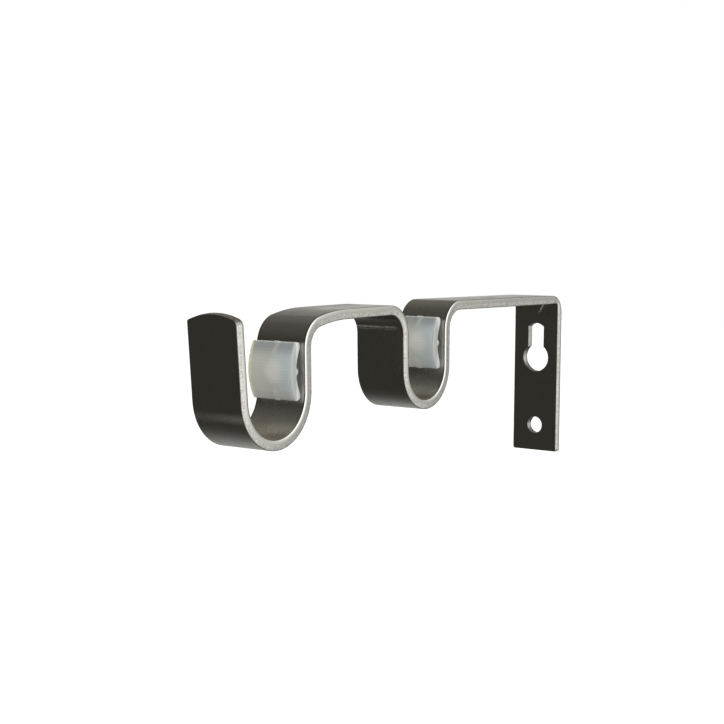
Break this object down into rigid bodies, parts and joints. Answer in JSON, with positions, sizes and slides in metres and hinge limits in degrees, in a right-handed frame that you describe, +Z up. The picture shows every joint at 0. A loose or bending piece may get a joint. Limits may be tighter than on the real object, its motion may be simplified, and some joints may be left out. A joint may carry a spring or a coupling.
{
  "type": "double curtain pole bracket",
  "caption": "Wall bracket bent from one flat steel bar, with an open cup for a front pole, an open cup for a back pole, and a moulded pad in each cup.",
  "frame": {"origin": "on the wall side of the plate, on the bar's centre line, half way up the plate's flat length", "axes": "+Y into the wall, +Z up, X along the wall and along the poles; the cups lie towards -Y"},
  "size_m": [0.018, 0.1807, 0.0575],
  "materials": {
    "satin_steel": "satin faces with fine lines along the bar, and brighter sheared edges",
    "pad_plastic": "milky, slightly see-through soft moulding"
  },
  "bodies": {
    "root": {"bent_bar": "satin_steel", "back_pole_pad": "pad_plastic", "front_pole_pad": "pad_plastic"}
  },
  "joints": []
}
